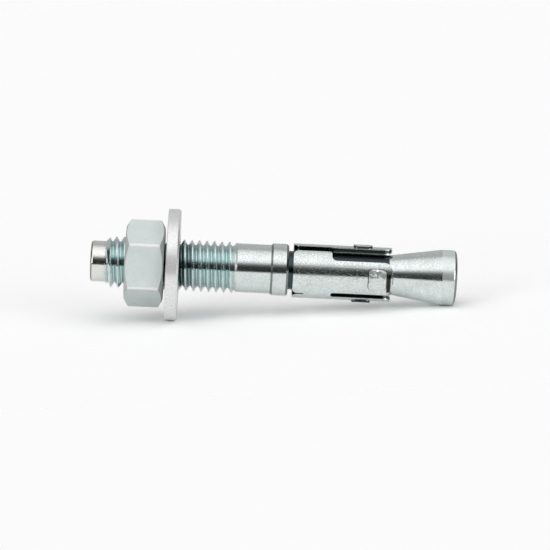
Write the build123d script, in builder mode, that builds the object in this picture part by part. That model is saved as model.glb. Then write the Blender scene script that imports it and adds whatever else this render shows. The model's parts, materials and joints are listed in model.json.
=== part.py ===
"""Wedge anchor: a headed-over cone bolt with its expansion clip, washer and hex nut.

Millimetres, +Z up. The anchor lies on the floor, z = 0, on the rim of its washer and the
edge of its cone, with the bolt running along +X towards the cone. The origin is the middle
of the footprint. Stations are measured along the bolt's axis from its threaded end.
"""
from build123d import *
from math import atan2, ceil, cos, degrees, floor, isclose, pi, radians, sin, tan
import os

# ---- bolt ----
bolt_length = 85.0            # the thread takes up what the other stretches leave of it
point_diameter = 9.5          # plain point that takes the hammer blows
point_length = 3.3
point_bevel = 0.5
thread_diameter = 11.9        # over the crests of the M12 x 1.75 thread
thread_depth = 1.1
thread_pitch = 1.75
thread_crest_station = 0.58   # crests stand at this station plus whole pitches
ridge_sink = 0.1              # how deep the ridges' feet stand under the root
lead_in_length = 1.2          # bevel from the point up to the crests
shank_diameter = 11.35
shank_length = 7.8
run_out_length = 2.2          # the root rises to the shank over this
crest_end_bevel = 0.6         # last crest down to the shank
collar_diameter = 12.1        # stops the clip when the anchor is driven
collar_length = 4.1
collar_bevel_length = 0.5
collar_bevel_depth = 0.3
neck_diameter = 9.0           # the clip sits loosely round this
neck_length = 23.1
cone_diameter = 12.85
cone_taper_length = 12.5
cone_land_length = 3.5
cone_edge_bevel = 0.6

# ---- expansion clip: a formed sheet rolled round the neck ----
clip_end_play = 1.1           # collar to clip
clip_length = 22.9
clip_neck_play = 0.5          # all round, between the neck and the sheet
sheet_thickness = 1.3
seam_gap = 1.9                # between the sheet's edges, round its outer face
seam_angle = 58.4             # the sheet's first edge, above the horizontal on the -Y side
lobe_count = 4
lobe_length = 14.0            # free length, past the slots' closed ends
slot_width = 1.3              # round the sheet's inner face, like the relief
slot_end_flat = 0.1           # left between the two rounded corners of its closed end
relief_width = 2.05           # the first lobe steps back this far from the sheet's edge
relief_end_flat = 0.35
relief_shoulder_radius = 0.6  # where the band meets the relief
lobe_corner_radius = 1.9
tail_corner_radius = 1.3      # corners of the end that meets the collar
tail_notch_length = 2.6
tail_notch_width = 0.4

# ---- bosses pressed out of the lobes, which bite into the wall of the hole ----
boss_length = 4.4             # along the bolt
boss_width = 5.1              # round the sheet
boss_height = 0.45
boss_corner_radius = 1.0
boss_edge_bevel = 0.18
boss_wall = 0.7               # between the boss's side and the dimple behind it
boss_far_inset = 3.4          # lobe's end to boss centre, on the first and third lobes
boss_near_inset = 6.8         # the same, on the second and fourth

# ---- washer ----
washer_diameter = 25.9
washer_hole_diameter = 13.2
washer_thickness = 2.9
washer_station = 17.6         # face that meets the nut
washer_roll_over = 0.4        # soft edge that the punch leaves on one side
washer_burr_bevel = 0.15      # the other edge

# ---- nut ----
nut_across_flats = 17.8
nut_thickness = 9.0
nut_edge_radius = 0.35
nut_face_diameter = 16.9      # flat left inside the corner bevel
nut_bevel_angle = 30.0
nut_countersink_depth = 0.7
nut_turn_angle = 4.0          # a flat's normal above the horizontal, on the -Y side
thread_clearance = 0.08       # between the nut's bore and the crests
nut_gap = 0.6                 # the nut is run down close to the washer, not tight

# ---- how near counts as equal where edges are picked ----
place_tolerance = 0.01
direction_tolerance = 0.01

# ---- stations along the bolt ----
land_start = bolt_length - cone_land_length
cone_start = land_start - cone_taper_length
neck_start = cone_start - neck_length
collar_start = neck_start - collar_length
shank_start = collar_start - shank_length
thread_start = point_length
clip_start = neck_start + clip_end_play
clip_end = clip_start + clip_length
lobe_start = clip_end - lobe_length
washer_end = washer_station + washer_thickness
nut_end = washer_station - nut_gap
nut_start = nut_end - nut_thickness

# ---- how it lies: the floor touches the washer's rim and the end of the cone's land ----
rim_station = washer_end - washer_roll_over
rim_radius = washer_diameter / 2
heel_station = bolt_length - cone_edge_bevel
heel_radius = cone_diameter / 2
lie_angle = atan2(rim_radius - heel_radius, heel_station - rim_station)
axis_height = rim_station * sin(lie_angle) + rim_radius * cos(lie_angle)

# ---- the footprint's two ends give the origin's place under the bolt ----
left_reach = (point_bevel - point_diameter / 2) * sin(lie_angle)
right_reach = bolt_length * cos(lie_angle) + (heel_radius - cone_edge_bevel) * sin(lie_angle)
bolt_frame = Plane(
    origin=(-(left_reach + right_reach) / 2, 0, axis_height),
    x_dir=(cos(lie_angle), 0, -sin(lie_angle)),
    z_dir=(sin(lie_angle), 0, cos(lie_angle)),
)
bolt_axis = Axis(bolt_frame.origin, bolt_frame.x_dir)


def outward(angle):
    """Direction square to the bolt, this many degrees above the horizontal on the -Y side."""
    return bolt_frame.z_dir * sin(radians(angle)) - bolt_frame.y_dir * cos(radians(angle))


def section_plane(angle):
    """Half-section through the bolt: X is the station and Y the radius, at this angle."""
    normal = bolt_frame.x_dir.cross(outward(angle))
    return Plane(origin=bolt_frame.origin, x_dir=bolt_frame.x_dir, z_dir=normal)


def cross_plane(station, angle):
    """Plane square to the bolt at a station, facing the cone, with X outward at this angle."""
    centre = bolt_frame.origin + bolt_frame.x_dir * station
    return Plane(origin=centre, x_dir=outward(angle), z_dir=bolt_frame.x_dir)


def station_of(shape):
    """Distance of a shape's middle along the bolt's axis."""
    return (shape.center() - bolt_frame.origin).dot(bolt_frame.x_dir)


def radius_of(shape):
    """Distance of a shape's middle from the bolt's axis."""
    offset_from_start = shape.center() - bolt_frame.origin
    return (offset_from_start - bolt_frame.x_dir * station_of(shape)).length


def angle_from_seam(shape):
    """Angle of a shape's middle round the sheet, counted from the seam over the front."""
    arm = shape.center() - bolt_frame.origin - bolt_frame.x_dir * station_of(shape)
    return round(outward(seam_angle).get_signed_angle(arm, bolt_frame.x_dir), 3) % 360


def along_bolt(edge):
    """How nearly an edge runs with the bolt: 1 along it, 0 square to it."""
    return abs((edge % 0.5).dot(bolt_frame.x_dir))


def is_radial(edge):
    """True for a straight edge that runs square to the bolt's axis, through the sheet."""
    return edge.geom_type == GeomType.LINE and along_bolt(edge) < direction_tolerance


# ---------------------------------------------------------------- anchor bolt
# The thread's relief is drawn as a ridge to each pitch, square to the bolt, in few faces.
crest_radius = thread_diameter / 2
root_radius = crest_radius - thread_depth
core_radius = root_radius - ridge_sink / 2
ridge_half = thread_pitch / 2 * (thread_depth + ridge_sink) / thread_depth
point_pitches = ceil((thread_start - thread_crest_station) / thread_pitch)
first_crest = thread_crest_station + point_pitches * thread_pitch
ridge_count = floor((shank_start - first_crest) / thread_pitch) + 1
with BuildPart() as anchor_bolt:
    with BuildSketch(section_plane(90)):
        with BuildLine():
            Polyline(
                (0, 0),
                (0, point_diameter / 2),
                (thread_start, point_diameter / 2),
                (thread_start, core_radius),
                (shank_start - run_out_length, core_radius),
                (shank_start, shank_diameter / 2),
                (collar_start, shank_diameter / 2),
                (collar_start, collar_diameter / 2 - collar_bevel_depth),
                (collar_start + collar_bevel_length, collar_diameter / 2),
                (neck_start - collar_bevel_length, collar_diameter / 2),
                (neck_start, collar_diameter / 2 - collar_bevel_depth),
                (neck_start, neck_diameter / 2),
                (cone_start, neck_diameter / 2),
                (land_start, cone_diameter / 2),
                (bolt_length, cone_diameter / 2),
                (bolt_length, 0),
                close=True,
            )
        make_face()
        with Locations([(first_crest + ridge * thread_pitch, 0) for ridge in range(ridge_count)]):
            Polygon(
                (-ridge_half, root_radius - ridge_sink),
                (ridge_half, root_radius - ridge_sink),
                (0, crest_radius),
                align=None,
            )
        # What the ridges are cut back to: a lead-in at the point, a bevel at the shank.
        with BuildLine():
            Polyline(
                (0, 0),
                (0, point_diameter / 2),
                (thread_start, point_diameter / 2),
                (thread_start + lead_in_length, crest_radius),
                (shank_start - crest_end_bevel, crest_radius),
                (shank_start, shank_diameter / 2),
                (collar_start, shank_diameter / 2),
                (collar_start, cone_diameter / 2),
                (bolt_length, cone_diameter / 2),
                (bolt_length, 0),
                close=True,
            )
        make_face(mode=Mode.INTERSECT)
    revolve(axis=bolt_axis)
    end_rims = anchor_bolt.edges().filter_by(GeomType.CIRCLE).sort_by(station_of)
    chamfer(end_rims[0], point_bevel)
    chamfer(end_rims[-1], cone_edge_bevel)
anchor_bolt.part.label = "anchor_bolt"

# ---------------------------------------------------------------- expansion clip
sheet_inner_radius = neck_diameter / 2 + clip_neck_play
sheet_outer_radius = sheet_inner_radius + sheet_thickness
sheet_end_angle = 360 - degrees(seam_gap / sheet_outer_radius)
notch_angle = degrees(tail_notch_width / sheet_outer_radius)
slot_angle = degrees(slot_width / sheet_inner_radius)
lobe_pitch_angle = 360 / lobe_count
lobe_width_angle = lobe_pitch_angle - slot_angle
first_lobe_angle = degrees(relief_width / sheet_inner_radius)
lobe_starts = [first_lobe_angle + lobe * lobe_pitch_angle for lobe in range(lobe_count)]
lobe_ends = [min(start + lobe_width_angle, sheet_end_angle) for start in lobe_starts]
boss_angles = [(start + end) / 2 for start, end in zip(lobe_starts, lobe_ends)]


def sweep_round(start_angle, end_angle, first, last, inner, outer, mode=Mode.ADD):
    """Turn a rectangle of stations and radii round the bolt, with angles from the seam."""
    with BuildSketch(section_plane(seam_angle - start_angle)) as section:
        with Locations(((first + last) / 2, (inner + outer) / 2)):
            Rectangle(last - first, outer - inner)
    revolve(section.sketch, bolt_axis, end_angle - start_angle, mode=mode)


def cut_sheet(start_angle, end_angle, first, last):
    """Cut a window through the rolled sheet, between two angles and two stations."""
    inner = sheet_inner_radius - sheet_thickness
    outer = sheet_outer_radius + sheet_thickness
    sweep_round(start_angle, end_angle, first, last, inner, outer, Mode.SUBTRACT)


# One boss, raised from mid-sheet so that it joins the lobe, with its corners rounded.
boss_root_radius = sheet_outer_radius - sheet_thickness / 2
boss_half_angle = degrees(boss_width / 2 / sheet_outer_radius)
with BuildPart() as boss:
    sweep_round(
        boss_angles[0] - boss_half_angle,
        boss_angles[0] + boss_half_angle,
        clip_end - boss_far_inset - boss_length / 2,
        clip_end - boss_far_inset + boss_length / 2,
        boss_root_radius,
        sheet_outer_radius + boss_height,
    )
    fillet(boss.edges().filter_by(is_radial), boss_corner_radius)
    chamfer(boss.faces().sort_by(radius_of)[-1].edges(), boss_edge_bevel)

# The dimple that the punch leaves behind it, as deep as the boss is high.
dimple_half_angle = degrees((boss_width / 2 - boss_wall) / sheet_outer_radius)
with BuildPart() as dimple:
    sweep_round(
        boss_angles[0] - dimple_half_angle,
        boss_angles[0] + dimple_half_angle,
        clip_end - boss_far_inset - boss_length / 2 + boss_wall,
        clip_end - boss_far_inset + boss_length / 2 - boss_wall,
        sheet_inner_radius - boss_height,
        sheet_inner_radius + boss_height,
    )

with BuildPart() as expansion_clip:
    # The blank is rolled from seam to seam, then slots part its free length into lobes.
    sweep_round(0, sheet_end_angle, clip_start, clip_end, sheet_inner_radius, sheet_outer_radius)
    cut_sheet(-slot_angle, first_lobe_angle, lobe_start, clip_end + sheet_thickness)
    for slot_end_angle in lobe_starts[1:]:
        slot_start_angle = slot_end_angle - slot_angle
        slot_middle_angle = slot_end_angle - slot_angle / 2
        cut_sheet(slot_start_angle, slot_end_angle, lobe_start, clip_end + sheet_thickness)
        cut_sheet(
            slot_middle_angle - notch_angle / 2,
            slot_middle_angle + notch_angle / 2,
            clip_start - sheet_thickness,
            clip_start + tail_notch_length,
        )

    # Corners of the flat blank: each is a straight edge through the sheet's thickness.
    corners = expansion_clip.edges().filter_by(is_radial)
    tail_corners = corners.group_by(station_of)[0]
    free_corners = corners.group_by(station_of)[-1]
    slot_corners = corners.filter_by(
        lambda edge: isclose(station_of(edge), lobe_start, abs_tol=place_tolerance)
    )
    relief_corners = slot_corners.sort_by(angle_from_seam)[:2]
    relief_corner_radius = relief_width - relief_shoulder_radius - relief_end_flat
    fillet(tail_corners, tail_corner_radius)
    fillet(free_corners, lobe_corner_radius)
    fillet(slot_corners - relief_corners, (slot_width - slot_end_flat) / 2)
    fillet(relief_corners[0], relief_shoulder_radius)
    fillet(relief_corners[1], relief_corner_radius)

    # Bosses: far and near the free end by turns.
    for lobe in range(lobe_count):
        shift = (boss_far_inset - boss_near_inset) * (lobe % 2)
        moved = Location(bolt_frame.x_dir * shift)
        turn = boss_angles[lobe] - boss_angles[0]
        add(moved * boss.part.rotate(bolt_axis, turn))
        add(moved * dimple.part.rotate(bolt_axis, turn), mode=Mode.SUBTRACT)
expansion_clip.part.label = "expansion_clip"

# ---------------------------------------------------------------- washer
with BuildPart() as flat_washer:
    with BuildSketch(cross_plane(washer_station, 0)):
        Circle(washer_diameter / 2)
        Circle(washer_hole_diameter / 2, mode=Mode.SUBTRACT)
    extrude(amount=washer_thickness)
    rims = flat_washer.edges().filter_by(GeomType.CIRCLE).group_by(lambda edge: edge.radius)[-1]
    chamfer(rims.sort_by(station_of)[-1], washer_roll_over)
    chamfer(rims.sort_by(station_of)[0], washer_burr_bevel)
flat_washer.part.label = "flat_washer"

# ---------------------------------------------------------------- hex nut
nut_corner_radius = nut_across_flats / 2 / cos(pi / 6)
nut_bevel_depth = nut_corner_radius - nut_face_diameter / 2
nut_bevel_length = nut_bevel_depth * tan(radians(nut_bevel_angle))
nut_bore_radius = thread_diameter / 2 + thread_clearance
with BuildPart() as hex_nut:
    with BuildSketch(cross_plane(nut_start, nut_turn_angle)):
        RegularPolygon(nut_corner_radius, 6, rotation=30)
    extrude(amount=nut_thickness)
    corner_edges = hex_nut.edges().filter_by(lambda edge: along_bolt(edge) > 1 - direction_tolerance)
    fillet(corner_edges, nut_edge_radius)
    with BuildSketch(section_plane(90)):
        with BuildLine():
            Polyline(
                (nut_start, 0),
                (nut_start, nut_face_diameter / 2),
                (nut_start + nut_bevel_length, nut_corner_radius),
                (nut_end - nut_bevel_length, nut_corner_radius),
                (nut_end, nut_face_diameter / 2),
                (nut_end, 0),
                close=True,
            )
        make_face()
    revolve(axis=bolt_axis, mode=Mode.INTERSECT)
    with BuildSketch(section_plane(90)):
        with BuildLine():
            Polyline(
                (nut_start, 0),
                (nut_start, nut_bore_radius + nut_countersink_depth),
                (nut_start + nut_countersink_depth, nut_bore_radius),
                (nut_end - nut_countersink_depth, nut_bore_radius),
                (nut_end, nut_bore_radius + nut_countersink_depth),
                (nut_end, 0),
                close=True,
            )
        make_face()
    revolve(axis=bolt_axis, mode=Mode.SUBTRACT)
hex_nut.part.label = "hex_nut"

# ---------------------------------------------------------------- files
os.makedirs("parts", exist_ok=True)
export_step(anchor_bolt.part, "parts/anchor_bolt.step")
export_step(expansion_clip.part, "parts/expansion_clip.step")
export_step(flat_washer.part, "parts/flat_washer.step")
export_step(hex_nut.part, "parts/hex_nut.step")

print("lies at", round(degrees(lie_angle), 2), "degrees, its threaded end's axis",
      round(axis_height, 2), "mm over the floor")
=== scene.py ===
"""Wedge anchor: a bright zinc-plated stud with its clip, washer and nut. Metres, the CAD's frame.

The clip, washer and nut are the CAD's own solids with plated finishes. The stud is modelled
again with a helical thread, in a frame of its own with X along the bolt, and then laid down on
the floor as the CAD has it. The finishes of the stud, the clip and the nut have shade painted
into their colour in places, and the nut's corners a painted highlight.
"""

import json
from math import cos, pi, radians, sin, tan

import bmesh
import bpy
from mathutils import Matrix, Vector


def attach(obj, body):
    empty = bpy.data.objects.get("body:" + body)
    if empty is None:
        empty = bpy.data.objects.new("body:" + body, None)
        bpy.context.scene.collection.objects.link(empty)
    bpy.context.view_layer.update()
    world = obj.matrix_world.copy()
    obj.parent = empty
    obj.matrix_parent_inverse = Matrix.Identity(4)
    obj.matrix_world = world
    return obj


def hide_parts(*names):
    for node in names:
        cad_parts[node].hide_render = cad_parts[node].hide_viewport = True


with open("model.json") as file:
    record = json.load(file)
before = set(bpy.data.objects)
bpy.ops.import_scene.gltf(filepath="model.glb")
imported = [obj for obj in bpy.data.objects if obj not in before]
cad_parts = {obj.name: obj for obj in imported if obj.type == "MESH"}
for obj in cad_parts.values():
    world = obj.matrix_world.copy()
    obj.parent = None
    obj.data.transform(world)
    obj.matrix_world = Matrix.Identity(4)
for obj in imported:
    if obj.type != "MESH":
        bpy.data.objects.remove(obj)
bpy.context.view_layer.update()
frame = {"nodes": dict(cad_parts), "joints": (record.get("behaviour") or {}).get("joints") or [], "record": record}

MM = 0.001

# ---- stud, as stations and diameters along the bolt ----
POINT_LENGTH = 3.3 * MM
POINT_DIAMETER = 9.5 * MM
POINT_EDGE = 0.6 * MM             # rounding of its edge
POINT_STEP = 0.3 * MM             # length of the slope from the point down to the core
THREAD_END = 34.0 * MM
THREAD_DIAMETER = 11.9 * MM
THREAD_ROOT_DIAMETER = 9.7 * MM
THREAD_PITCH = 1.75 * MM
THREAD_FLANK_ANGLE = 30           # degrees from square to the bolt
THREAD_CREST_WIDTH = 0.24 * MM
THREAD_PHASE = 0.58 * MM          # station of a crest on the bolt's top side, less whole turns
THREAD_OVERLAP = 0.3 * MM         # how far the thread reaches into the point
THREAD_SHORT = 0.1 * MM           # how far it stops short of the shank
SPARE_TURNS = 2                   # screwed at either end before the thread is cut to length
LEAD_IN = 1.2 * MM
RUN_OUT = 1.6 * MM
CREST_RUN_OUT = 0.5 * MM          # length of the crests' slope down to the shank
UNDERCUT = 0.1 * MM               # depth of the turned core under the thread's root
ENVELOPE_REACH = 1.0 * MM         # past the thread at either end
CREST_CLEARANCE = 0.001 * MM      # between the crests and their envelope
SHANK_CLEARANCE = 0.01 * MM       # between the envelope's end and the shank's surface over it
POINT_CLEARANCE = 0.1 * MM        # the same at the point
SHANK_DIAMETER = 11.35 * MM
COLLAR_START = 41.8 * MM
COLLAR_END = 45.9 * MM
COLLAR_DIAMETER = 12.1 * MM
COLLAR_BEVEL = 0.5 * MM
COLLAR_BEVEL_DEPTH = 0.3 * MM
NECK_DIAMETER = 9.0 * MM
CONE_START = 69.0 * MM
LAND_START = 81.5 * MM
CONE_DIAMETER = 12.85 * MM
CONE_EDGE = 0.9 * MM              # rounding of its edge
BOLT_END = 85.0 * MM

# ---- meshing ----
AROUND = 128                      # facets round the stud
TURN_STEPS = 96                   # facets in one turn of the thread
ROUND_STEPS = 20                  # facets across a rounded edge
MERGE_DISTANCE = 0.0005 * MM
SAME_PLACE = 0.01 * MM            # a vertex this near a corner is that corner
SMOOTH_ANGLE = 7                  # degrees past which an edge stays sharp

# ---- where the bolt lies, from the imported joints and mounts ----
joints = {joint["name"]: joint for joint in frame["joints"]}
mounts = {mount["name"]: mount for mount in frame["record"]["mounts"]}
bolt_direction = Vector(joints["washer_slide"]["axis"]).normalized()
land = mounts["drilled_hole"]
land_middle = LAND_START + land["dims"]["length_mm"] * MM / 2
bolt_origin = Vector(land["pos_m"]) - bolt_direction * land_middle
across = Vector((0, 1, 0))
upward = bolt_direction.cross(across)
bolt_turn = Matrix((bolt_direction, across, upward)).transposed()
bolt_frame = Matrix.Translation(bolt_origin) @ bolt_turn.to_4x4()


# ------------------------------------------------------------------ modelling
def start_fresh():
    """Leave edit mode with nothing selected, so that the next tool acts on the new piece alone."""
    if bpy.context.mode != "OBJECT":
        bpy.ops.object.mode_set(mode="OBJECT")
    bpy.ops.object.select_all(action="DESELECT")


def pick_vertices(piece, wanted):
    """In edit mode, select the vertices whose place passes the test, and nothing else."""
    bpy.ops.mesh.select_all(action="DESELECT")
    mesh = bmesh.from_edit_mesh(piece.data)
    for vertex in mesh.verts:
        vertex.select = wanted(vertex.co)
    mesh.select_flush_mode()
    bmesh.update_edit_mesh(piece.data)


def drawn_outline(name, points, rounds=()):
    """Draw an open outline of (station, radius) points by extruding one vertex, and round some."""
    start_fresh()
    bpy.ops.mesh.primitive_plane_add(size=1)
    piece = bpy.context.object
    piece.name = piece.data.name = name
    bpy.ops.object.mode_set(mode="EDIT")
    # One corner of the plane is kept, moved to the first point and drawn out from there.
    pick_vertices(piece, lambda co: co.x > 0 or co.y > 0)
    bpy.ops.mesh.delete(type="VERT")
    bpy.ops.mesh.select_all(action="SELECT")
    first = Vector((points[0][0], 0, points[0][1]))
    here = bmesh.from_edit_mesh(piece.data).verts[:][0].co.copy()
    bpy.ops.transform.translate(value=first - here)
    for (station, radius), (next_station, next_radius) in zip(points, points[1:]):
        step = (next_station - station, 0, next_radius - radius)
        bpy.ops.mesh.extrude_region_move(TRANSFORM_OT_translate={"value": step})
    for station, radius, size in rounds:
        corner = Vector((station, 0, radius))
        pick_vertices(piece, lambda co: (co - corner).length < SAME_PLACE)
        bpy.ops.mesh.bevel(offset=size, segments=ROUND_STEPS, profile=0.5, affect="VERTICES")
    return piece


def turned(name, points, rounds=()):
    """A closed solid of revolution about the X axis, spun from its outline."""
    piece = drawn_outline(name, points, rounds)
    bpy.ops.mesh.select_all(action="SELECT")
    bpy.ops.mesh.spin(steps=AROUND, angle=2 * pi, center=(0, 0, 0), axis=(1, 0, 0))
    close_skin()
    return piece


def close_skin():
    """Merge doubled vertices and turn every face outwards."""
    bpy.ops.mesh.select_all(action="SELECT")
    bpy.ops.mesh.remove_doubles(threshold=MERGE_DISTANCE)
    bpy.ops.mesh.normals_make_consistent(inside=False)
    bpy.ops.object.mode_set(mode="OBJECT")


def apply_modifier(piece, kind, **settings):
    """Add one modifier with these settings and apply it."""
    bpy.context.view_layer.objects.active = piece
    modifier = piece.modifiers.new(kind.lower(), kind)
    for key, value in settings.items():
        setattr(modifier, key, value)
    bpy.ops.object.modifier_apply(modifier=modifier.name)


def combine(piece, other, operation):
    """Boolean the other solid into the piece and throw the other away."""
    start_fresh()
    piece.select_set(True)
    apply_modifier(piece, "BOOLEAN", operation=operation, object=other, solver="MANIFOLD")
    bpy.data.objects.remove(other, do_unlink=True)


def lay_down(piece):
    """Move a piece from the bolt's own frame to where the anchor lies, and bake its place."""
    start_fresh()
    piece.select_set(True)
    bpy.context.view_layer.objects.active = piece
    piece.matrix_world = bolt_frame
    bpy.ops.object.transform_apply(location=True, rotation=True, scale=True)


def smooth(piece, angle):
    """Smooth shading, with edges sharper than the angle in degrees kept."""
    start_fresh()
    piece.select_set(True)
    bpy.context.view_layer.objects.active = piece
    bpy.ops.object.shade_smooth_by_angle(angle=radians(angle))


# ------------------------------------------------------------------ shader nodes
# A mix node has sockets of the same name for numbers, vectors and colours, so they go by place.
MIX_SHARE = 0
MIX_UNDER = 6
MIX_OVER = 7
MIX_RESULT = 2


def new_material(name):
    """An empty node material and its node tree."""
    material = bpy.data.materials.new(name)
    material.use_nodes = True
    material.node_tree.nodes.clear()
    return material, material.node_tree


def noise(tree, where, scale, detail, roughness=0.5):
    """A noise texture on the given coordinates."""
    texture = tree.nodes.new("ShaderNodeTexNoise")
    texture.inputs["Scale"].default_value = scale
    texture.inputs["Detail"].default_value = detail
    texture.inputs["Roughness"].default_value = roughness
    tree.links.new(where, texture.inputs["Vector"])
    return texture.outputs["Fac"]


def spread(tree, value, low, high):
    """Map a noise value's usual range to low..high."""
    mapped = tree.nodes.new("ShaderNodeMapRange")
    mapped.inputs["From Min"].default_value = NOISE_LOW
    mapped.inputs["From Max"].default_value = NOISE_HIGH
    mapped.inputs["To Min"].default_value = low
    mapped.inputs["To Max"].default_value = high
    tree.links.new(value, mapped.inputs["Value"])
    return mapped.outputs["Result"]


def fade(tree, value, full, none):
    """1 where the value is at or beyond full, 0 at or beyond none, and between them in between."""
    mapped = tree.nodes.new("ShaderNodeMapRange")
    mapped.inputs["From Min"].default_value = none
    mapped.inputs["From Max"].default_value = full
    tree.links.new(value, mapped.inputs["Value"])
    return mapped.outputs["Result"]


def reckon(tree, operation, first, second=None):
    """One math node; each input is a number or another node's output."""
    node = tree.nodes.new("ShaderNodeMath")
    node.operation = operation
    for socket, value in zip(node.inputs, (first, second)):
        if isinstance(value, (int, float)):
            socket.default_value = value
        elif value is not None:
            tree.links.new(value, socket)
    return node.outputs[0]


def reckon_vector(tree, operation, *vectors):
    """One vector math node, which gives a number for a length or a dot product."""
    node = tree.nodes.new("ShaderNodeVectorMath")
    node.operation = operation
    for socket, vector in zip(node.inputs, vectors):
        tree.links.new(vector, socket)
    return node.outputs["Value" if operation in ("LENGTH", "DOT_PRODUCT") else "Vector"]


def product(tree, *shares):
    """All these shares multiplied."""
    whole = shares[0]
    for share in shares[1:]:
        whole = reckon(tree, "MULTIPLY", whole, share)
    return whole


def blend(tree, share, under, over):
    """Mix two colours; each is a triple or another node's output."""
    mix = tree.nodes.new("ShaderNodeMix")
    mix.data_type = "RGBA"
    tree.links.new(share, mix.inputs[MIX_SHARE])
    for socket, colour in ((mix.inputs[MIX_UNDER], under), (mix.inputs[MIX_OVER], over)):
        if isinstance(colour, tuple):
            socket.default_value = (*colour, 1)
        else:
            tree.links.new(colour, socket)
    return mix.outputs[MIX_RESULT]


def bumped(tree, height, distance, under=None):
    """The normal that a bump node gives, on top of another one."""
    bump = tree.nodes.new("ShaderNodeBump")
    bump.inputs["Strength"].default_value = 1.0
    bump.inputs["Distance"].default_value = distance
    tree.links.new(height, bump.inputs["Height"])
    if under is not None:
        tree.links.new(under, bump.inputs["Normal"])
    return bump.outputs["Normal"]


def in_bolt_frame(tree, vector, origin):
    """A vector of the CAD's frame as seen from the bolt's own."""
    mapping = tree.nodes.new("ShaderNodeMapping")
    mapping.vector_type = "TEXTURE"
    mapping.inputs["Location"].default_value = origin
    mapping.inputs["Rotation"].default_value = bolt_turn.to_euler()
    tree.links.new(vector, mapping.inputs["Vector"])
    return mapping.outputs["Vector"]


# ------------------------------------------------------------------ places with a tint, a finish, painted shade or a painted highlight of their own
# A place is a list of limits (measure, full, none). Each holds fully at or beyond its full
# value, not at all at or beyond its none value, and in part between the two. The measures are:
#   station  how far along the bolt
#   radius   how far from its axis
#   round    the angle round it, from level at the front
#   facing   1 on a surface that faces straight away from the axis, 0 on one that cuts across
#   flush    the same, but 1 also on a surface that faces the axis
SHEET_INNER = 5.0 * MM            # radii of the clip's sheet
SHEET_OUTER = 6.3 * MM
SHEARED_FACE_RIM = 0.3 * MM            # rim of a sheared face, kept out of its painted shade so that it shows bright
NUT_CORNER = 10.28 * MM           # radius to the nut's six corners

PLAIN_POINT = [("station", POINT_LENGTH - 0.4 * MM, POINT_LENGTH)]
# Painted shade in the thread's valleys, tinted teal.
THREAD_VALLEY_SHADE = [
    ("radius", THREAD_ROOT_DIAMETER / 2 + 0.15 * MM, THREAD_ROOT_DIAMETER / 2 + 0.7 * MM),
    ("station", THREAD_END - 0.8 * MM, THREAD_END),
    ("station", POINT_LENGTH + 0.8 * MM, POINT_LENGTH),
]
WASHER_SHADE_ON_VALLEYS = [             # painted shade of the washer, near its place at rest
    ("radius", THREAD_ROOT_DIAMETER / 2 + 0.35 * MM, THREAD_ROOT_DIAMETER / 2 + 1.05 * MM),
    ("station", 17.0 * MM, 9.0 * MM),
    ("station", 21.0 * MM, 25.0 * MM),
]
# Painted shade on the neck, where it shows through the clip's gap and slot.
NECK_IN_SHADE = [
    ("radius", NECK_DIAMETER / 2 + 0.05 * MM, NECK_DIAMETER / 2 + 0.1 * MM),
    ("station", COLLAR_END, COLLAR_END - 0.05 * MM),
    ("station", CONE_START + 0.2 * MM, CONE_START + 0.4 * MM),
]
SHADED_TURNED_EDGES = [                  # painted shade on bevels, rounded edges and the rims of end faces
    ("facing", 0.90, 0.96),
    ("radius", 4.0 * MM, 3.8 * MM),
]
SHADED_EDGES_BEFORE_THREAD = SHADED_TURNED_EDGES + [("station", POINT_LENGTH - 0.4 * MM, POINT_LENGTH - 0.3 * MM)]
SHADED_EDGES_AFTER_THREAD = SHADED_TURNED_EDGES + [("station", THREAD_END + 0.2 * MM, THREAD_END + 0.1 * MM)]
CONE_LAND = [("station", LAND_START + 0.02 * MM, LAND_START - 0.02 * MM)]
SHEARED_FACE_SHADE = [                 # painted shade on faces through the sheet's thickness, short of their bright rims
    ("flush", 0.25, 0.5),
    ("radius", SHEET_INNER + SHEARED_FACE_RIM, SHEET_INNER + 0.7 * SHEARED_FACE_RIM),
    ("radius", SHEET_OUTER - SHEARED_FACE_RIM, SHEET_OUTER - 0.7 * SHEARED_FACE_RIM),
]
BOSS_TOPS = [
    ("radius", SHEET_OUTER + 0.3 * MM, SHEET_OUTER + 0.15 * MM),
    ("facing", 0.95, 0.85),
]
# Painted shade: a dark outline on the bosses' side walls.
BOSS_SIDE_SHADE = [
    ("radius", SHEET_OUTER + 0.05 * MM, SHEET_OUTER + 0.01 * MM),
    ("facing", 0.95, 0.99),
]
FRONT_LOBE_SHADE = [              # painted shade between the front lobe's boss and its end
    ("station", 68.78 * MM, 68.63 * MM),
    ("station", 69.5 * MM, 69.8 * MM),
    ("round", radians(-30), radians(-34)),
    ("round", radians(6), radians(12)),
    ("radius", SHEET_OUTER - 0.1 * MM, SHEET_OUTER - 0.2 * MM),
]
# Worn plating and a painted highlight: the nut's rounded corners whitened.
NUT_CORNER_WEAR_AND_HIGHLIGHT = [("radius", NUT_CORNER - 0.12 * MM, NUT_CORNER - 0.3 * MM)]
# Painted shade on the nut's chamfers and end faces.
NUT_END_SHADE = [("facing", 0.6, 0.75)]


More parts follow.
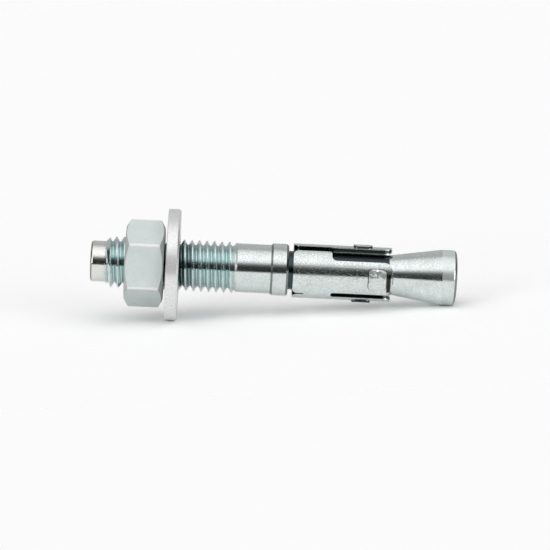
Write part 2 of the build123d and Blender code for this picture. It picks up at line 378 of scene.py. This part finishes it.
def place_on_bolt(tree):
    """The point's coordinates in the bolt's frame, and its measures."""
    given = tree.nodes.new("ShaderNodeTexCoord")
    where = in_bolt_frame(tree, given.outputs["Object"], bolt_origin)
    normal = in_bolt_frame(tree, given.outputs["Normal"], (0, 0, 0))
    parts = tree.nodes.new("ShaderNodeSeparateXYZ")
    tree.links.new(where, parts.inputs["Vector"])
    arm = tree.nodes.new("ShaderNodeCombineXYZ")
    for axis in "YZ":
        tree.links.new(parts.outputs[axis], arm.inputs[axis])
    outward = reckon_vector(tree, "NORMALIZE", arm.outputs["Vector"])
    facing = reckon_vector(tree, "DOT_PRODUCT", outward, normal)
    toward_front = reckon(tree, "MULTIPLY", parts.outputs["Y"], -1)
    return where, {
        "station": parts.outputs["X"],
        "radius": reckon_vector(tree, "LENGTH", arm.outputs["Vector"]),
        "round": reckon(tree, "ARCTAN2", parts.outputs["Z"], toward_front),
        "facing": facing,
        "flush": reckon(tree, "ABSOLUTE", facing),
    }


def share_of(tree, measures, place):
    """How far the point belongs to the place."""
    shares = [fade(tree, measures[name], full, none) for name, full, none in place]
    return product(tree, *shares)


# ------------------------------------------------------------------ finishes
NOISE_LOW = 0.3                   # the range that a noise mostly keeps to
NOISE_HIGH = 0.7
CLOUD_SCALE = 260
CLOUD_DETAIL = 4
GRAIN_DETAIL = 3
SWELL_DETAIL = 1
FINE_NOISE = 0.6                  # how strongly the finer noise shows in the cloud and the grain
PIT_FLOOR = 0.32                  # of the grain's noise, where a pit is deepest
PIT_RIM = 0.64
PIT_TONE = (0.20, 0.19, 0.18)
WHITE = (1.0, 1.0, 1.0)
ZINC_LIGHT = (0.92, 0.985, 0.975)
ZINC_DARK = (0.79, 0.86, 0.845)
WASHER_DARK = (0.96, 0.985, 0.98)
NUT_LIGHT = (0.82, 0.90, 0.885)
NUT_DARK = (0.77, 0.85, 0.835)
# Colours of painted shade, except POINT_TONE, the point's own warmer tint.
NUT_END_SHADE_TONE = (0.58, 0.63, 0.62)
POINT_TONE = (0.92, 0.88, 0.84)
VALLEY_SHADE_TONE = (0.54, 0.71, 0.71)
WASHER_SHADE_TONE = (0.12, 0.19, 0.19)
NECK_SHADE_TONE = (0.06, 0.078, 0.088)
EDGE_SHADE_TONE = (0.26, 0.27, 0.26)
SHEARED_FACE_SHADE_TONE = (0.10, 0.11, 0.105)
BOSS_SIDE_SHADE_TONE = (0.05, 0.055, 0.055)
LOBE_SHADE_TONE = (0.04, 0.035, 0.03)


def plated_steel(name, light, dark, rough, grain, pits, body=0.0, shades=(), matt=None, uneven=None):
    """Zinc plating: a cloudy colour over a fine grain, all on Object coordinates.

    rough is the roughness in the grain's pits and on its crests, grain its scale and height,
    and pits how far its pits darken the colour. body is the share of a matt, unmetallic look.
    Each of the shades is a place, its colour and how strongly it covers; most of them are painted
    shade, one is a painted highlight on worn corners and one a tint. matt is a place and the share
    of that look that it has on top of body. uneven is a place that swells gently, with the scale
    and height of its swell.
    """
    material, tree = new_material(name)
    output = tree.nodes.new("ShaderNodeOutputMaterial")
    shader = tree.nodes.new("ShaderNodeBsdfPrincipled")
    tree.links.new(shader.outputs["BSDF"], output.inputs["Surface"])

    where, measures = place_on_bolt(tree)
    grain_scale, grain_height = grain
    cloud = noise(tree, where, CLOUD_SCALE, CLOUD_DETAIL, FINE_NOISE)
    speck = noise(tree, where, grain_scale, GRAIN_DETAIL, FINE_NOISE)

    colour = blend(tree, spread(tree, cloud, 0, 1), dark, light)
    pitted = product(tree, fade(tree, speck, PIT_FLOOR, PIT_RIM), pits)
    colour = blend(tree, pitted, colour, PIT_TONE)
    for place, tone, strength in shades:
        colour = blend(tree, product(tree, share_of(tree, measures, place), strength), colour, tone)
    tree.links.new(colour, shader.inputs["Base Color"])

    shader.inputs["Metallic"].default_value = 1.0 - body
    if matt:
        place, share = matt
        loss = product(tree, share_of(tree, measures, place), share)
        tree.links.new(reckon(tree, "SUBTRACT", 1.0 - body, loss), shader.inputs["Metallic"])
    tree.links.new(spread(tree, speck, *rough), shader.inputs["Roughness"])

    swell = None
    if uneven:
        place, scale, height = uneven
        wave = noise(tree, where, scale, SWELL_DETAIL)
        swell = bumped(tree, product(tree, share_of(tree, measures, place), wave), height)
    tree.links.new(bumped(tree, speck, grain_height, swell), shader.inputs["Normal"])
    return material


def finish_with(piece, material):
    """Give the whole piece one material."""
    piece.data.materials.clear()
    piece.data.materials.append(material)


# The shades below are painted shade, except the point's tint and the nut's worn corners with their painted
# highlight.
stud_finish = plated_steel(
    "stud_plating_with_painted_shade", ZINC_LIGHT, ZINC_DARK, rough=(0.22, 0.04), grain=(3000, 0.013 * MM), pits=0.3,
    shades=(
        (PLAIN_POINT, POINT_TONE, 0.6),
        (THREAD_VALLEY_SHADE, VALLEY_SHADE_TONE, 1.0),
        (WASHER_SHADE_ON_VALLEYS, WASHER_SHADE_TONE, 1.0),
        (NECK_IN_SHADE, NECK_SHADE_TONE, 1.0),
        (SHADED_EDGES_BEFORE_THREAD, EDGE_SHADE_TONE, 1.0),
        (SHADED_EDGES_AFTER_THREAD, EDGE_SHADE_TONE, 1.0),
    ),
    matt=(CONE_LAND, 0.4),
)
clip_finish = plated_steel(
    "clip_plating_with_painted_shade", ZINC_LIGHT, ZINC_DARK, rough=(0.30, 0.05), grain=(2600, 0.020 * MM), pits=0.35,
    shades=(
        (SHEARED_FACE_SHADE, SHEARED_FACE_SHADE_TONE, 1.0),
        (BOSS_SIDE_SHADE, BOSS_SIDE_SHADE_TONE, 1.0),
        (FRONT_LOBE_SHADE, LOBE_SHADE_TONE, 1.0),
    ),
    matt=(BOSS_TOPS, 0.3),
    uneven=(BOSS_TOPS, 700, 0.42 * MM),
)
washer_finish = plated_steel(
    "washer_plating", WHITE, WASHER_DARK, rough=(0.42, 0.28), grain=(2400, 0.028 * MM), pits=0.2,
    body=0.3,
)
nut_finish = plated_steel(
    "nut_plating_with_painted_light", NUT_LIGHT, NUT_DARK, rough=(0.40, 0.50), grain=(2600, 0.005 * MM), pits=0.06,
    body=0.75,
    shades=(
        (NUT_END_SHADE, NUT_END_SHADE_TONE, 1.0),
        (NUT_CORNER_WEAR_AND_HIGHLIGHT, WHITE, 1.0),
    ),
)


# ------------------------------------------------------------------ stud
def thread_rod():
    """One pitch of the 60 degree form, screwed along the bolt and cut square at both ends."""
    crest = THREAD_DIAMETER / 2
    root = THREAD_ROOT_DIAMETER / 2
    flank = (crest - root) * tan(radians(THREAD_FLANK_ANGLE))
    start = THREAD_PHASE - SPARE_TURNS * THREAD_PITCH
    points = [
        (start - THREAD_CREST_WIDTH / 2, crest),
        (start + THREAD_CREST_WIDTH / 2, crest),
        (start + THREAD_CREST_WIDTH / 2 + flank, root),
        (start - THREAD_CREST_WIDTH / 2 - flank + THREAD_PITCH, root),
        (start - THREAD_CREST_WIDTH / 2 + THREAD_PITCH, crest),
    ]
    rod = drawn_outline("thread", points)
    bpy.ops.object.mode_set(mode="OBJECT")
    turns = int(THREAD_END / THREAD_PITCH) + 2 * SPARE_TURNS
    apply_modifier(
        rod, "SCREW", axis="X", screw_offset=THREAD_PITCH, iterations=turns,
        steps=TURN_STEPS, render_steps=TURN_STEPS, use_merge_vertices=True,
        merge_threshold=MERGE_DISTANCE,
    )
    bpy.ops.object.mode_set(mode="EDIT")
    cuts = ((POINT_LENGTH - THREAD_OVERLAP, False), (THREAD_END - THREAD_SHORT, True))
    for station, outer in cuts:
        bpy.ops.mesh.select_all(action="SELECT")
        bpy.ops.mesh.bisect(
            plane_co=(station, 0, 0), plane_no=(1, 0, 0), use_fill=True,
            clear_outer=outer, clear_inner=not outer,
        )
    close_skin()
    return rod


def thread_envelope():
    """What is left of the crests: bevelled down to the point and to the shank."""
    under_point = POINT_DIAMETER / 2 - POINT_CLEARANCE
    over_crest = THREAD_DIAMETER / 2 + CREST_CLEARANCE
    under_shank = SHANK_DIAMETER / 2 - SHANK_CLEARANCE
    return turned("envelope", [
        (POINT_LENGTH - ENVELOPE_REACH, 0),
        (POINT_LENGTH - ENVELOPE_REACH, under_point),
        (POINT_LENGTH, under_point),
        (POINT_LENGTH + LEAD_IN, over_crest),
        (THREAD_END - CREST_RUN_OUT, over_crest),
        (THREAD_END, under_shank),
        (THREAD_END + ENVELOPE_REACH, under_shank),
        (THREAD_END + ENVELOPE_REACH, 0),
    ])


def anchor_stud():
    """The whole stud: a turned body with the thread joined on."""
    core = THREAD_ROOT_DIAMETER / 2 - UNDERCUT
    body = turned("anchor_stud", [
        (0, 0),
        (0, POINT_DIAMETER / 2),
        (POINT_LENGTH, POINT_DIAMETER / 2),
        (POINT_LENGTH + POINT_STEP, core),
        (THREAD_END - RUN_OUT, core),
        (THREAD_END, SHANK_DIAMETER / 2),
        (COLLAR_START, SHANK_DIAMETER / 2),
        (COLLAR_START, COLLAR_DIAMETER / 2 - COLLAR_BEVEL_DEPTH),
        (COLLAR_START + COLLAR_BEVEL, COLLAR_DIAMETER / 2),
        (COLLAR_END - COLLAR_BEVEL, COLLAR_DIAMETER / 2),
        (COLLAR_END, COLLAR_DIAMETER / 2 - COLLAR_BEVEL_DEPTH),
        (COLLAR_END, NECK_DIAMETER / 2),
        (CONE_START, NECK_DIAMETER / 2),
        (LAND_START, CONE_DIAMETER / 2),
        (BOLT_END, CONE_DIAMETER / 2),
        (BOLT_END, 0),
    ], rounds=[
        (0, POINT_DIAMETER / 2, POINT_EDGE),
        (BOLT_END, CONE_DIAMETER / 2, CONE_EDGE),
    ])
    rod = thread_rod()
    combine(rod, thread_envelope(), "INTERSECT")
    combine(body, rod, "UNION")
    lay_down(body)
    smooth(body, SMOOTH_ANGLE)
    return body


stud = anchor_stud()
finish_with(stud, stud_finish)
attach(stud, "bolt")
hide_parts("anchor_bolt")

finish_with(frame["nodes"]["expansion_clip"], clip_finish)
finish_with(frame["nodes"]["flat_washer"], washer_finish)
finish_with(frame["nodes"]["hex_nut"], nut_finish)


# ------------------------------------------------------------------ floor, light and camera
FLOOR_FRONT = 90 * MM             # the table's edge, before the anchor
FLOOR_REACH = 900 * MM            # how far it runs to the sides and the back
FLOOR_TONE = 0.66                 # as it lights the anchor from below
FLOOR_SEEN = 1.25                 # as the camera sees it
FLOOR_MIRRORED = 1.09             # as the metal mirrors it
BACKDROP_SEEN = 0.965             # the room as the camera sees it, level with the floor

# Light of the room, at shares of the way over from the horizon at the front to the one behind.
ROOM_LEVELS = [
    (0.0, 0.02), (0.08, 0.03), (0.13, 0.10), (0.17, 0.35), (0.21, 0.80), (0.26, 1.12),
    (0.36, 1.15), (0.52, 0.88), (0.62, 0.45), (0.75, 0.50), (1.0, 0.48),
]
# Full and none, as in a place's limits, for the two low white panels and the dark side walls.
# Sideways is the X of a direction without its sign, up its Z, and over as above.
PANEL_SIDEWAYS = (0.46, 0.34)
PANEL_UP = (0.0, -0.05)
PANEL_OVER = (0.18, 0.24)
PANEL_LEVEL = 3.0
WALL_SIDEWAYS = (0.86, 0.74)
WALL_LEVEL = 0.05

CAMERA_TARGET = Vector((0.216, 0, 9.269)) * MM
CAMERA_DISTANCE = 700 * MM
CAMERA_ELEVATION = 10.0           # degrees
CAMERA_ROLL = -2.996              # degrees
CAMERA_NEAR = 50 * MM
CAMERA_FAR = 10_000 * MM
PIXELS_PER_METRE = 4291.7         # at the target, in a picture 550 pixels wide
PICTURE_WIDTH = 550
SENSOR_WIDTH = 36.0


def pale_floor():
    """A matt white table that shows white to the camera and in the metal, with the soft shadow."""
    start_fresh()
    bpy.ops.mesh.primitive_plane_add(size=2 * FLOOR_REACH)
    floor = bpy.context.object
    floor.name = "floor"
    bpy.ops.object.mode_set(mode="EDIT")
    pick_vertices(floor, lambda co: co.y < 0)
    bpy.ops.transform.translate(value=(0, FLOOR_REACH - FLOOR_FRONT, 0))
    bpy.ops.object.mode_set(mode="OBJECT")
    material, tree = new_material("floor_white")
    output = tree.nodes.new("ShaderNodeOutputMaterial")
    matt = tree.nodes.new("ShaderNodeBsdfDiffuse")
    path = tree.nodes.new("ShaderNodeLightPath")
    lift = reckon(tree, "MULTIPLY", path.outputs["Is Camera Ray"], FLOOR_SEEN - FLOOR_TONE)
    shine = reckon(tree, "MULTIPLY", path.outputs["Is Glossy Ray"], FLOOR_MIRRORED - FLOOR_TONE)
    tone = reckon(tree, "ADD", reckon(tree, "ADD", lift, shine), FLOOR_TONE)
    tree.links.new(tone, matt.inputs["Color"])
    tree.links.new(matt.outputs["BSDF"], output.inputs["Surface"])
    finish_with(floor, material)


def room_light(tree, over):
    """The room's light, from the dark low front over the bright ceiling to the grey back."""
    ramp = tree.nodes.new("ShaderNodeValToRGB")
    stops = ramp.color_ramp.elements
    stops.remove(stops[0])
    stops[0].position = ROOM_LEVELS[0][0]
    for position, _ in ROOM_LEVELS[1:]:
        stops.new(position)
    for stop, (_, level) in zip(stops, ROOM_LEVELS):
        stop.color = (level, level, level, 1)
    tree.links.new(over, ramp.inputs["Fac"])
    return ramp.outputs["Color"]


def studio_world():
    """A bright ceiling, a grey back, a dark low front between two white panels, dark sides."""
    world = bpy.data.worlds.new("studio")
    bpy.context.scene.world = world
    world.use_nodes = True
    tree = world.node_tree
    tree.nodes.clear()
    output = tree.nodes.new("ShaderNodeOutputWorld")
    background = tree.nodes.new("ShaderNodeBackground")
    direction = tree.nodes.new("ShaderNodeTexCoord")
    parts = tree.nodes.new("ShaderNodeSeparateXYZ")
    tree.links.new(direction.outputs["Generated"], parts.inputs["Vector"])
    toward_front = reckon(tree, "MULTIPLY", parts.outputs["Y"], -1)
    angle = reckon(tree, "ARCTAN2", parts.outputs["Z"], toward_front)
    over = reckon(tree, "DIVIDE", angle, pi)
    sideways = reckon(tree, "ABSOLUTE", parts.outputs["X"])
    panel = product(
        tree, fade(tree, parts.outputs["Z"], *PANEL_UP), fade(tree, sideways, *PANEL_SIDEWAYS),
        fade(tree, over, *PANEL_OVER),
    )
    wall = fade(tree, sideways, *WALL_SIDEWAYS)
    room = blend(tree, panel, room_light(tree, over), (PANEL_LEVEL,) * 3)
    room = blend(tree, wall, room, (WALL_LEVEL,) * 3)
    path = tree.nodes.new("ShaderNodeLightPath")
    seen = blend(tree, path.outputs["Is Camera Ray"], room, (BACKDROP_SEEN,) * 3)
    tree.links.new(seen, background.inputs["Color"])
    tree.links.new(background.outputs["Background"], output.inputs["Surface"])


def camera():
    """The camera looks along +Y, a little down, with a slight roll."""
    data = bpy.data.cameras.new("camera")
    data.sensor_width = SENSOR_WIDTH
    data.lens = PIXELS_PER_METRE * CAMERA_DISTANCE / PICTURE_WIDTH * SENSOR_WIDTH
    data.clip_start = CAMERA_NEAR
    data.clip_end = CAMERA_FAR
    eye = bpy.data.objects.new("camera", data)
    bpy.context.scene.collection.objects.link(eye)
    elevation = radians(CAMERA_ELEVATION)
    eye.location = CAMERA_TARGET + Vector((0, -cos(elevation), sin(elevation))) * CAMERA_DISTANCE
    tilt = Matrix.Rotation(pi / 2 - elevation, 4, "X")
    roll = Matrix.Rotation(radians(CAMERA_ROLL), 4, "Z")
    eye.rotation_euler = (tilt @ roll).to_euler()
    bpy.context.scene.camera = eye


pale_floor()
studio_world()
camera()
bpy.context.scene.view_settings.view_transform = "Standard"
